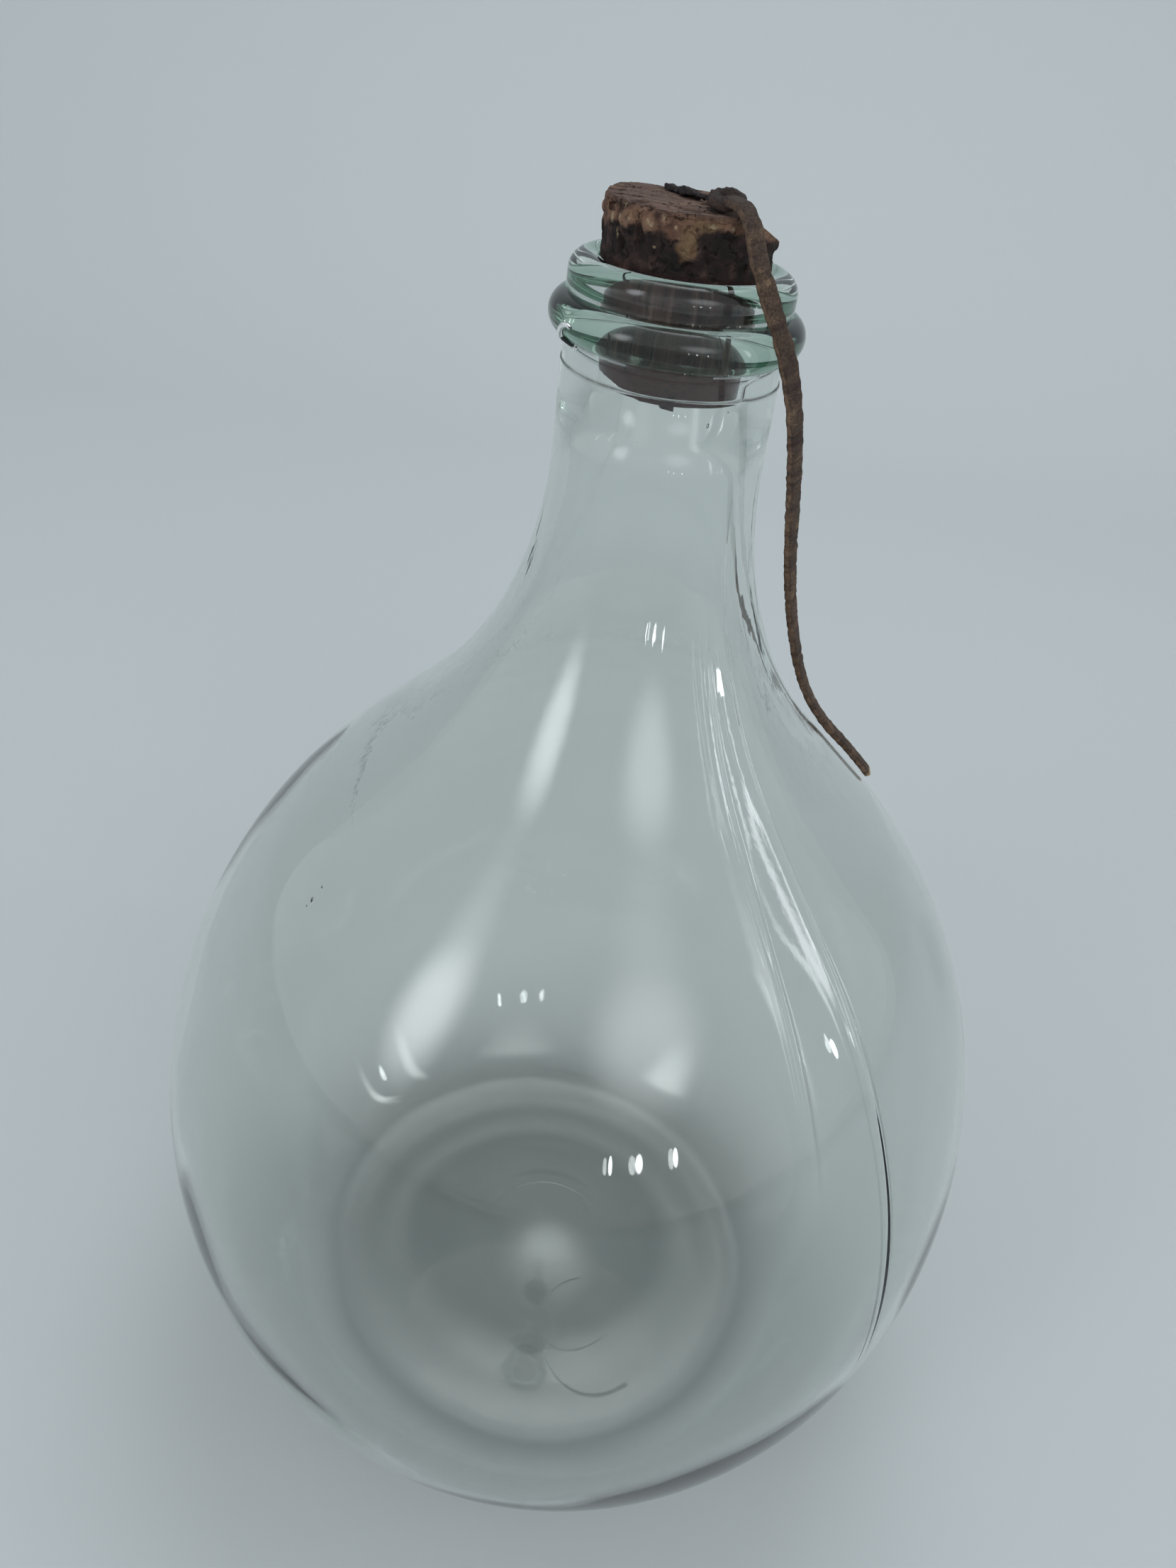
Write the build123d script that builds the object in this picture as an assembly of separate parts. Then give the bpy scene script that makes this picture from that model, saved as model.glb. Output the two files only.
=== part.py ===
from build123d import *
from math import acos, atan2, cos, hypot, pi, radians, sin, sqrt, tan
import os

# Glass demijohn of about ten litres, closed with a cork that carries a leather thong.
# Millimetres, +Z up. The origin is the middle of the base, on the plane that the demijohn stands on.
# The thong hangs on the +X side, a little towards -Y where it leaves the cork.

# ---- driving dimensions of the glass ----
BODY_RADIUS = 130.0          # widest part of the body
WIDEST_HEIGHT = 110.0
SHOULDER_ARC = 166.0         # radius of the body's outline above its widest part
BELLY_ARC = 156.0            # and below it
HEEL_ARC = 35.0              # round edge between the belly and the base
CONTACT_RING_INNER = 58.0    # the flat ring that it stands on runs from here to the heel
PUSH_UP_HEIGHT = 11.0        # how far the middle of the base is pushed up
BODY_WALL = 3.0
BASE_THICKNESS = 5.0
HEEL_WALL_ARC = 26.0         # the heel's round edge on the inside

THROAT_ARC = 110.5           # concave sweep between the shoulder and the neck
THROAT_CENTRE = (135.7, 329.5)
THROAT_WALL = 4.5
NECK_RADIUS = 25.0
MOULD_LINE_HEIGHT = 349.0    # where the neck finish meets the moulded neck
MOULD_LINE_STEP = 0.25
BORE_FOOT_RADIUS = 16.6      # the tapered bore that takes the cork
BORE_FOOT_HEIGHT = 347.0
BORE_MOUTH_RADIUS = 17.3

LIP_ROUND = 4.1              # the rolled lip is a full round of this radius
LIP_ROUND_HEIGHT = 367.9
COLLAR_FOOT_HEIGHT = 365.2
COLLAR_UNDERCUT_HEIGHT = 364.6

# ---- string ring ----
RING_BOTTOM = 354.7
RING_TOP = 363.9
RING_PROUD = 4.3

# ---- cork ----
CORK_FIT_GAP = 0.12          # between the cork and the bore, measured across the wall
CORK_BOTTOM = 345.7
CORK_TOP = 384.4
CORK_HEAD_FOOT_RADIUS = 18.8
CORK_TOP_RADIUS = 19.4
CORK_EDGE_CHAMFER = 0.9
CORK_FOOT_CHAMFER = 1.2
# Flats of the hand-cut cork: heading in degrees from +X, distance from the axis at the top, and lean
# in degrees from upright. The first two slant across the top.
TOP_CUTS = [
    (15, 8.0, 59.5),
    (70, 5.5, 84.6),
    (58, 18.7, 7),
    (112, 18.8, 5),
    (171, 18.9, 4),
    (212, 18.7, 6),
    (262, 18.8, 5),
]
# The same for the flat that takes the edge off the cork's foot, with the distance at the bottom.
FOOT_CUT = (188, 7.0, -61)
CUT_BLOCK = (18.0, 54.0, 36.0)

# ---- thong ----
THONG_WIDTH = 3.6
HOLE_TOP = (5.0, -11.5, CORK_TOP)       # the hole slants down through the cork
HOLE_FOOT = (0.5, -11.5, CORK_BOTTOM)
THONG_HOLE_RADIUS = 1.9
STUB_LENGTH = 1.5            # how far the thong sticks out below the cork
SHANK_GAP = 0.05
KNOT_RADII = (4.0, 3.8, 2.5)
KNOT_CENTRE = (6.0, -12.3, 386.0)
ARC_SHARE = 0.45             # share of the shorter run that each arc of the thong may take
THONG_ROUTE = [
    (6.0, -12.0, 386.6),
    (8.7, -16.6, 387.5),
    (11.8, -20.9, 385.0),
    (13.8, -22.0, 378.5),
    (18.0, -22.5, 370.5),
    (24.0, -23.0, 360.5),
    (28.5, -20.5, 347.5),
    (32.5, -12.0, 328.0),
    (36.5, -2.0, 306.0),
    (42.5, 9.5, 283.0),
    (50.5, 19.5, 261.0),
    (60.0, 25.5, 246.5),
    (71.0, 30.5, 235.5),
    (79.6, 33.5, 225.6),
]
TAIL_WIDTH = 2.0
TAIL_ROUTE = [(4.0, -9.5, 385.8), (1.2, -4.0, 385.6), (-2.2, 2.0, 385.5), (-6.4, 7.3, 385.5)]


def on_circle(centre, radius, angle):
    """The point of a circle at an angle in radians, in the plane of radius and height."""
    return (centre[0] + radius * cos(angle), centre[1] + radius * sin(angle))


def arc(centre, radius, start, end):
    """An arc of a circle between two angles in radians, drawn through its middle point."""
    return ThreePointArc(
        on_circle(centre, radius, start),
        on_circle(centre, radius, (start + end) / 2),
        on_circle(centre, radius, end),
    )


def revolved(outline):
    """The solid that a closed outline of radius and height sweeps round the +Z axis."""
    return revolve(Plane.XZ * make_face(Curve() + outline), Axis.Z)


def double_bend(start, end, along_height):
    """Two equal arcs that join start and end as an S, both ends square to the same direction."""
    rise, run = end[1] - start[1], end[0] - start[0]
    middle = ((start[0] + end[0]) / 2, (start[1] + end[1]) / 2)
    tangent = (0, 1 if rise > 0 else -1) if along_height else (1 if run > 0 else -1, 0)
    first = TangentArc(start, middle, tangent=tangent)
    second = TangentArc(middle, end, tangent=first % 1)
    return [first, second]


def joining_line(low_centre, low_radius, high_centre, high_radius):
    """The straight stretch that touches the convex shoulder arc and the concave throat arc.

    It gives the angle at which the line leaves the shoulder arc. The throat arc meets it at the
    opposite angle, because the two arcs lie on different sides of the line.
    """
    across = high_centre[0] - low_centre[0]
    up = high_centre[1] - low_centre[1]
    spread = acos((low_radius + high_radius) / hypot(across, up))
    return atan2(up, across) - spread


def wall_outline(inset, heel_radius, floor, throat_inset):
    """The body's outline from the base to the throat, moved in by the wall's thickness."""
    shoulder_centre = (BODY_RADIUS - SHOULDER_ARC, WIDEST_HEIGHT)
    belly_centre = (BODY_RADIUS - BELLY_ARC, WIDEST_HEIGHT)
    shoulder_radius = SHOULDER_ARC - inset
    belly_radius = BELLY_ARC - inset
    throat_radius = THROAT_ARC + throat_inset

    heel_height = floor + heel_radius
    reach = belly_radius - heel_radius
    heel_centre = (belly_centre[0] + sqrt(reach**2 - (WIDEST_HEIGHT - heel_height) ** 2), heel_height)
    heel_end = atan2(heel_height - WIDEST_HEIGHT, heel_centre[0] - belly_centre[0])

    leave = joining_line(shoulder_centre, shoulder_radius, THROAT_CENTRE, throat_radius)
    line_start = on_circle(shoulder_centre, shoulder_radius, leave)
    line_end = on_circle(THROAT_CENTRE, throat_radius, leave + pi)
    return [
        arc(heel_centre, heel_radius, -pi / 2, heel_end),
        arc(belly_centre, belly_radius, heel_end, 0),
        arc(shoulder_centre, shoulder_radius, 0, leave),
        Line(line_start, line_end),
        arc(THROAT_CENTRE, throat_radius, leave + pi, pi),
    ]


def build_bottle():
    outer = wall_outline(0, HEEL_ARC, 0, 0)
    inner = wall_outline(BODY_WALL, HEEL_WALL_ARC, BASE_THICKNESS, THROAT_WALL)
    outer_foot, outer_throat = outer[0] @ 0, outer[-1] @ 1
    inner_foot, inner_throat = inner[0] @ 0, inner[-1] @ 1
    lip_centre = (BORE_MOUTH_RADIUS + LIP_ROUND, LIP_ROUND_HEIGHT)
    collar_radius = lip_centre[0] + LIP_ROUND

    push_up = (0, PUSH_UP_HEIGHT)
    floor_peak = (0, PUSH_UP_HEIGHT + BASE_THICKNESS)
    ring_edge = (CONTACT_RING_INNER, 0)

    below_line = (NECK_RADIUS + MOULD_LINE_STEP, MOULD_LINE_HEIGHT - MOULD_LINE_STEP)
    neck_finish = Polyline(
        (outer_throat.X, outer_throat.Y),
        below_line,
        (NECK_RADIUS, MOULD_LINE_HEIGHT),
        (NECK_RADIUS, COLLAR_UNDERCUT_HEIGHT),
        (collar_radius, COLLAR_FOOT_HEIGHT),
        (collar_radius, LIP_ROUND_HEIGHT),
    )
    lip = arc(lip_centre, LIP_ROUND, 0, pi)
    bore_foot = (BORE_FOOT_RADIUS, BORE_FOOT_HEIGHT)
    bore = Line((BORE_MOUTH_RADIUS, LIP_ROUND_HEIGHT), bore_foot)

    outline = [*outer, neck_finish, lip, bore, *inner]
    outline += double_bend(bore_foot, (inner_throat.X, inner_throat.Y), along_height=True)
    outline += double_bend(push_up, ring_edge, along_height=False)
    outline += [Line(ring_edge, (outer_foot.X, outer_foot.Y))]
    outline += double_bend(floor_peak, (inner_foot.X, inner_foot.Y), along_height=False)
    outline += [Line(push_up, floor_peak)]
    return revolved(outline)


def build_string_ring():
    start = (NECK_RADIUS, RING_BOTTOM)
    end = (NECK_RADIUS, RING_TOP)
    crest = (NECK_RADIUS + RING_PROUD, (RING_BOTTOM + RING_TOP) / 2)
    return revolved([ThreePointArc(start, crest, end), Line(end, start)])


def build_cork():
    lip_centre = (BORE_MOUTH_RADIUS + LIP_ROUND, LIP_ROUND_HEIGHT)
    around_lip = LIP_ROUND + CORK_FIT_GAP
    seat_angle = acos((CORK_HEAD_FOOT_RADIUS - lip_centre[0]) / around_lip)
    head_foot = on_circle(lip_centre, around_lip, seat_angle)
    mouth = (BORE_MOUTH_RADIUS - CORK_FIT_GAP, LIP_ROUND_HEIGHT)
    foot_radius = BORE_FOOT_RADIUS - CORK_FIT_GAP

    outline = [
        Polyline(
            (0, CORK_BOTTOM),
            (foot_radius - CORK_FOOT_CHAMFER, CORK_BOTTOM),
            (foot_radius, CORK_BOTTOM + CORK_FOOT_CHAMFER),
            mouth,
        ),
        arc(lip_centre, around_lip, pi, seat_angle),
        Polyline(
            head_foot,
            (CORK_TOP_RADIUS, CORK_TOP - CORK_EDGE_CHAMFER),
            (CORK_TOP_RADIUS - CORK_EDGE_CHAMFER, CORK_TOP),
            (0, CORK_TOP),
            (0, CORK_BOTTOM),
        ),
    ]
    cork = revolved(outline)
    cuts = [knife_cut(*cut, CORK_TOP) for cut in TOP_CUTS] + [knife_cut(*FOOT_CUT, CORK_BOTTOM)]
    hole = along_hole(THONG_HOLE_RADIUS, STUB_LENGTH, KNOT_RADII[2])
    return cork - hole - cuts


def knife_cut(heading, distance, lean, height):
    """A block that takes one flat off the cork, at a distance from the axis at the given height."""
    block = Box(*CUT_BLOCK, align=(Align.MIN, Align.CENTER, Align.CENTER))
    return Rot(0, 0, heading) * Pos(distance, 0, height) * Rot(0, -lean, 0) * block


def along_hole(radius, below, above):
    """A round bar along the slanting hole, standing out below the cork's foot and above its top."""
    foot, top = Vector(*HOLE_FOOT), Vector(*HOLE_TOP)
    direction = (top - foot).normalized()
    start = foot - direction * below
    length = (top - foot).length + below + above
    return Plane(start, z_dir=direction) * Cylinder(
        radius, length, align=(Align.CENTER, Align.CENTER, Align.MIN)
    )


def build_knot():
    """The knot sits flat on the cork, and the thong goes on down through the hole to a short stub."""
    ball = Pos(*KNOT_CENTRE) * scale(Sphere(1), by=KNOT_RADII)
    knot_size = 3 * max(KNOT_RADII)
    above_cork = Pos(KNOT_CENTRE[0], KNOT_CENTRE[1], CORK_TOP) * Box(
        knot_size, knot_size, knot_size, align=(Align.CENTER, Align.CENTER, Align.MIN)
    )
    shank = along_hole(THONG_HOLE_RADIUS - SHANK_GAP, STUB_LENGTH, KNOT_CENTRE[2] - CORK_TOP)
    return (ball & above_cork) + shank


def arc_radii(route):
    """The radius of the arc at each inner point of a route, as large as its two runs allow."""
    radii = []
    points = [Vector(*point) for point in route]
    for before, corner, after in zip(points, points[1:], points[2:]):
        arriving, leaving = corner - before, after - corner
        turn = radians(arriving.get_angle(leaving))
        radii.append(ARC_SHARE * min(arriving.length, leaving.length) / tan(turn / 2))
    return radii


def build_tube(name, route, width):
    """A round tube along straight runs that are joined by tangent arcs."""
    radii = arc_radii(route)
    path = FilletPolyline(*route, radius=radii)
    tube = sweep(Plane(path @ 0, z_dir=path % 0) * Circle(width / 2), path=path)
    print(name, "length", round(path.length, 1), "arc radii", [round(radius, 1) for radius in radii])
    print(name, "volume", round(tube.volume, 1), "section x length", round(pi * width**2 / 4 * path.length, 1))
    return tube


def build_all():
    knot = build_knot()
    return {
        "glass_bottle": build_bottle(),
        "string_ring": build_string_ring(),
        "cork_stopper": build_cork(),
        "thong_knot": knot,
        "thong": build_tube("thong", THONG_ROUTE, THONG_WIDTH) - knot,
        "thong_tail": build_tube("thong_tail", TAIL_ROUTE, TAIL_WIDTH) - knot,
    }


os.makedirs("parts", exist_ok=True)
for node, shape in build_all().items():
    export_step(shape, f"parts/{node}.step")
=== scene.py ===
import math
import bpy
import numpy as np
from mathutils import Matrix, Vector, noise


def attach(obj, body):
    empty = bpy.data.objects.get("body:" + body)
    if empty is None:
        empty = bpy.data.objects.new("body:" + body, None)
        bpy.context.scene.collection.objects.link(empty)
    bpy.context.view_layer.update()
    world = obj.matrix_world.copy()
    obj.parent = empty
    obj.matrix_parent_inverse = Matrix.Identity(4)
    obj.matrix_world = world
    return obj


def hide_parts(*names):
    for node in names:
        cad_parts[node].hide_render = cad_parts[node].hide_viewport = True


# Looks of the glass demijohn: clear pale green glass, an old cork and its leather thong.
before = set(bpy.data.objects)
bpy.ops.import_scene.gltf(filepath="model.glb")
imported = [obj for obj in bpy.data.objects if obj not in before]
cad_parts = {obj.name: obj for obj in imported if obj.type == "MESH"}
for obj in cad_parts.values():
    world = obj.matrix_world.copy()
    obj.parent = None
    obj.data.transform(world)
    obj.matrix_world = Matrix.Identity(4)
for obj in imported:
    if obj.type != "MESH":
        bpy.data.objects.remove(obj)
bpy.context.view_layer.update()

MM = 0.001

# ---- lights and stage, in metres ----
LIGHT_CENTRE = (0, 0, 0.2)
LIGHT_DISTANCE = 2.0
LAMP_COLOUR = (0.93, 0.97, 1.0)
SKY_COLOUR = (0.84, 0.87, 0.89)
SKY_STRENGTH = 0.72
STAGE_COLOUR = (0.56, 0.60, 0.612)
STAGE_ROUGHNESS = 0.8

# ---- camera: distance and height from the middle of the base, in millimetres, and its turns ----
CAMERA_DISTANCE = 276.5
CAMERA_HEIGHT = 426.1
CAMERA_YAW = -1.23
CAMERA_PITCH_DOWN = 35.40
CAMERA_ROLL = 7.63
CAMERA_LENS = 27.03
CAMERA_SENSOR = 36

# ---- glass outline, the same driving sizes as the CAD solids, in millimetres ----
BODY_RADIUS = 130.0
WIDEST_HEIGHT = 110.0
SHOULDER_ARC = 166.0
BELLY_ARC = 156.0
HEEL_ARC = 35.0
CONTACT_RING_INNER = 58.0
PUSH_UP_HEIGHT = 11.0
BODY_WALL = 3.0
BASE_THICKNESS = 5.0
HEEL_WALL_ARC = 26.0
THROAT_ARC = 110.5
THROAT_CENTRE = (135.7, 329.5)
THROAT_WALL = 4.5
NECK_RADIUS = 25.0
MOULD_LINE_HEIGHT = 349.0
MOULD_LINE_STEP = 0.25
BORE_FOOT_RADIUS = 16.6
BORE_MOUTH_RADIUS = 17.3
LIP_ROUND = 4.1
LIP_ROUND_HEIGHT = 367.9
COLLAR_FOOT_HEIGHT = 365.2
COLLAR_UNDERCUT_HEIGHT = 364.6
GLASS_IOR = 1.5

# ---- marks in the glass; headings are in degrees from +X towards -Y ----
DRAW_LINE_DEPTH = 0.03
BODY_SEAMS = {42.3: 1.0, 222.3: 0.35}
STRETCH_MARK = 54.3
FINISH_SEAM = 40.0
FINISH_SEAM_FOOT = 49.5
SEAM_RISE = 0.28
SEAM_CREST_RISE = 0.13
SEAM_CREST_WIDTH = 0.55
STRETCH_RISE = 0.30
FINISH_SEAM_RISE = 0.26
MOULD_LINE_RISE = 0.30
BASE_MARK_RADIUS = 24.0
BASE_MARK_RISE = 0.22
ROLLING_DEPTH = 0.22
INSIDE_ROLL = 0.50
# heights at which relief starts, is full, begins to fade and is gone
SEAM_REACH = (90, 170, 290, 335)
STRETCH_REACH = (170, 225, 280, 310)
WAVES_REACH = (205, 290, 330, 346)
ROLLING_REACH = (20, 60, 250, 320)
DRAW_LINE_REACH = (195, 280, MOULD_LINE_HEIGHT - 12, MOULD_LINE_HEIGHT - 2)
INSIDE_ROLL_REACH = (6, 40, 300, 335)
INSIDE_WAVES_REACH = (200, 270, 325, 345)
# heading and height of a thick, drawn-out streak inside the throat
THROAT_STREAK = (174.0, 296.0)
THROAT_STREAK_RISE = 0.6
# bubbles in the wall: heading, height, half length and half width
SEEDS = [
    (143.5, 221.2, 0.45, 0.3), (143.4, 218.0, 1.0, 0.4), (143.5, 216.3, 0.35, 0.25),
    (66.0, 344.0, 0.6, 0.32), (55.5, 346.8, 0.25, 0.25),
]

# ---- string ring ----
RING_BOTTOM = 354.7
RING_TOP = 363.9
RING_PROUD = 4.3
RING_SINK = 0.3
RING_INNER_ROWS = 5
RING_SWELL = 0.16
RING_SWAY = 0.14
RING_SLACK = 0.12
# the drawn-out end of the ring curls under its lower edge: heading, height
CURL_ROUTE = [
    (138.0, 359.5), (141.5, 360.1), (145.0, 359.0), (147.2, 357.4), (148.0, 356.3), (145.5, 355.5),
    (143.4, 355.1), (144.8, 354.5), (147.4, 353.4),
]
CURL_THICKNESS = 0.72
CURL_LIFT = 0.25

# ---- cork ----
CORK_BOTTOM = 345.7
CORK_TOP = 384.4
CORK_FIT_GAP = 0.12
CORK_HEAD_FOOT_RADIUS = 18.8
CORK_TOP_RADIUS = 19.4
CORK_EDGE_CHAMFER = 0.9
CORK_FOOT_CHAMFER = 1.2
CORK_TURN_STEP = 0.8
# depth below the cork's top at which its weathered side ends, and at which the bore begins
CORK_SIDE_END = (10.0, 12.0)
CORK_BORE_START = (11.2, 12.6)
# heights over which the darkest stain at the cork's foot fades
CORK_FOOT_FADE = (352.5, 356.5)
# flats cut by hand: heading from +X towards +Y, distance from the axis at the top, lean from upright
TOP_CUTS = [
    (15, 8.0, 59.5), (70, 5.5, 84.6), (58, 18.7, 7), (112, 18.8, 5), (171, 18.9, 4), (212, 18.7, 6),
    (262, 18.8, 5),
]
FOOT_CUT = (188, 7.0, -61)
# Marks on the side that shows the most, each a heading from +X towards -Y and a height, then half its
# width and half its height. Knobs also have how far they stand out. scattered_marks() does the rest.
KNOBS = [
    (134, 380.9, 2.6, 2.4, 0.8), (115, 381.0, 2.2, 2.2, 0.8), (106, 382.6, 1.4, 1.7, 0.5),
    (148, 381.0, 1.6, 2.0, 0.5), (66, 382.0, 1.6, 1.5, 0.4),
]
CHIPS = [(90, 377.9, 2.2, 2.7), (89, 380.4, 1.6, 1.6), (83, 382.3, 1.8, 1.1), (77, 382.3, 1.3, 1.0)]
CRUMBS = [
    (149, 380.3, 0.65, 1.25), (137, 383.4, 0.35, 0.85), (139, 380.9, 0.6, 1.0),
    (131, 381.2, 0.45, 0.35), (116, 381.6, 0.4, 0.7), (113.5, 381.2, 0.45, 0.45),
    (107, 383.1, 0.35, 0.9), (99, 381.3, 0.35, 0.35), (143, 377.6, 0.25, 1.2),
    (111, 377.0, 0.5, 0.25), (76, 382.3, 0.9, 0.6), (71, 384.2, 0.3, 0.5), (63, 382.2, 0.45, 0.35),
]
# height up to which the side is stained black, by heading
STAIN_EDGE = [
    (0, 378.5), (50, 380.5), (66, 382.0), (80, 381.2), (100, 378.8), (107, 379.9), (118, 378.9),
    (125, 380.8), (132, 379.2), (147, 380.0), (162, 377.6), (230, 380.0), (300, 377.8),
    (360, 378.5),
]

# ---- thong ----
THONG_WIDTH = 4.0
THONG_THICKNESS = 2.2
HOLE_TOP = (5.0, -11.5, CORK_TOP)
HOLE_FOOT = (0.5, -11.5, CORK_BOTTOM)
STUB_LENGTH = 1.5
KNOT_CENTRE = (6.6, -11.5, 386.2)
# the knot's turns over the hole, from its middle
KNOT_TURNS = [
    (-1.4, 1.7, 0.2), (0.6, 2.4, 1.2), (2.2, 0.5, 0.9), (1.2, -1.7, 0.0), (-1.4, -1.7, -0.3),
    (-2.4, 0.1, 0.0), (-1.2, 1.7, 0.9), (0.4, 0.7, 1.4), (0.6, -0.7, 1.2),
]
THONG_ROUTE = [
    (6.0, -11.4, 386.2), (9.2, -16.2, 387.2), (12.0, -20.4, 384.8), (14.2, -22.0, 378.5),
    (18.4, -22.5, 370.5), (24.0, -23.0, 360.5), (28.5, -20.5, 347.5), (32.5, -12.0, 328.0),
    (36.5, -2.0, 306.0), (42.5, 9.5, 283.0), (50.5, 19.5, 261.0), (60.0, 25.5, 246.5),
    (71.0, 30.5, 235.5), (79.6, 33.5, 225.6),
]
TAIL_ROUTE = [(4.8, -8.4, 385.6), (1.8, -2.6, 385.1), (-2.0, 3.0, 384.9), (-6.0, 7.6, 384.8)]


# ---- camera ----
def make_camera():
    yaw, pitch, roll = (math.radians(a) for a in (CAMERA_YAW, CAMERA_PITCH_DOWN, CAMERA_ROLL))
    ahead = Vector((math.sin(yaw), math.cos(yaw), 0))
    forward = ahead * math.cos(pitch) - Vector((0, 0, math.sin(pitch)))
    level = Vector((math.cos(yaw), -math.sin(yaw), 0))
    upright = level.cross(forward)
    right = level * math.cos(roll) + upright * math.sin(roll)
    up = upright * math.cos(roll) - level * math.sin(roll)
    data = bpy.data.cameras.new("camera")
    data.lens = CAMERA_LENS
    data.sensor_width = CAMERA_SENSOR
    data.clip_start = 0.01
    camera = bpy.data.objects.new("camera", data)
    turn = Matrix((right, up, -forward)).transposed().to_4x4()
    camera.matrix_world = Matrix.Translation((0, -CAMERA_DISTANCE * MM, CAMERA_HEIGHT * MM)) @ turn
    bpy.context.collection.objects.link(camera)
    bpy.context.scene.camera = camera


make_camera()


# ---- small mesh and curve helpers ----
def new_piece(name, points, faces, body, material):
    """A mesh piece from points in millimetres, riding on a CAD body."""
    mesh = bpy.data.meshes.new(name)
    mesh.from_pydata((np.asarray(points, float) * MM).tolist(), [], faces)
    mesh.validate()
    mesh.polygons.foreach_set("use_smooth", [True] * len(mesh.polygons))
    mesh.materials.append(material)
    piece = bpy.data.objects.new(name, mesh)
    bpy.context.collection.objects.link(piece)
    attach(piece, body)
    return piece


def add_attribute(piece, name, values):
    """Stores one number for each point of a piece, which its material reads by name."""
    layer = piece.data.attributes.new(name, "FLOAT", "POINT")
    layer.data.foreach_set("value", np.asarray(values, float))


def on_circle(centre, radius, angle):
    return (centre[0] + radius * math.cos(angle), centre[1] + radius * math.sin(angle))


def arc(centre, radius, start, end, step):
    """Points along an arc in the plane of radius and height, about step apart."""
    count = max(3, math.ceil(abs(end - start) * radius / step))
    return [on_circle(centre, radius, a) for a in np.linspace(start, end, count + 1)]


def line(start, end, step):
    """Points along a straight line, at most step apart."""
    count = max(1, math.ceil(math.dist(start, end) / step))
    return [tuple(p) for p in np.linspace(start, end, count + 1)]


def straights(start, *corners):
    """Straight lines through some corners, each given with the step of the points that lead to it."""
    points = [start]
    for corner, step in corners:
        points += line(points[-1], corner, step)
    return points


def double_bend(start, end, step):
    """Two equal arcs as an S whose ends run along the second coordinate."""
    across, along = end[0] - start[0], end[1] - start[1]
    radius = (across**2 + along**2) / (4 * abs(across))
    points = []
    for t in np.linspace(0, 1, math.ceil(abs(along) / step) + 1):
        near = min(t, 1 - t) * abs(along)
        shift = math.copysign(radius - math.sqrt(radius**2 - near**2), across)
        points.append((start[0] + shift if t <= 0.5 else end[0] - shift, start[1] + t * along))
    return points


def chain(*stretches):
    """Joins stretches of points and drops the points that two of them share."""
    points = []
    for stretch in stretches:
        for point in stretch:
            if not points or math.dist(points[-1], point) > 1e-6:
                points.append(tuple(point))
    return np.array(points)


def unit(vectors):
    return vectors / np.linalg.norm(vectors, axis=1)[:, None]


def outline_normals(outline):
    """Unit normals of an outline, to the right of its direction."""
    along = unit(np.gradient(outline, axis=0))
    return np.stack([along[:, 1], -along[:, 0]], axis=1)


def circle_at(angle, radius, height):
    """Points at some angles from +X towards -Y; the radius and height may change with the angle."""
    return np.stack([radius * np.cos(angle), -radius * np.sin(angle), 0 * angle + height], axis=1)


def grid_faces(rows, columns, closed_rows=False):
    """Quads over a grid whose columns close on themselves."""
    faces = []
    for i in range(rows if closed_rows else rows - 1):
        below, above = i * columns, (i + 1) % rows * columns
        for j in range(columns):
            k = (j + 1) % columns
            faces.append((below + j, below + k, above + k, above + j))
    return faces


def closed_faces(rows, columns):
    """Quads over a grid of circles, and fans from its ends to the two points that come after it."""
    faces = grid_faces(rows, columns)
    start, end, last = rows * columns, rows * columns + 1, (rows - 1) * columns
    for j in range(columns):
        k = (j + 1) % columns
        faces.append((start, k, j))
        faces.append((end, last + j, last + k))
    return faces


def reversed_faces(faces):
    return [face[::-1] for face in faces]


def smooth_step(x, low, high):
    """Rises smoothly from 0 at low to 1 at high."""
    t = np.clip((np.asarray(x, float) - low) / (high - low), 0, 1)
    return t * t * (3 - 2 * t)


def between(x, rise, risen, fall, fallen):
    """Rises smoothly from 0 to 1, and falls back to 0 further on."""
    return smooth_step(x, rise, risen) * (1 - smooth_step(x, fall, fallen))


def bump(x, width):
    """A smooth hump, 1 where x is 0."""
    return np.exp(-((x / width) ** 2))


def heading_gap(headings, mark):
    """Degrees from a heading to a mark, between -180 and 180."""
    return (headings - mark + 180) % 360 - 180


def noise_at(points, scale, seed=0.0):
    """Smooth noise between about -1 and 1 with features of a size in millimetres."""
    shift = Vector((seed, seed * 1.7, seed * 0.6))
    return np.array([noise.noise(Vector(p) / scale + shift) for p in points])


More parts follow.
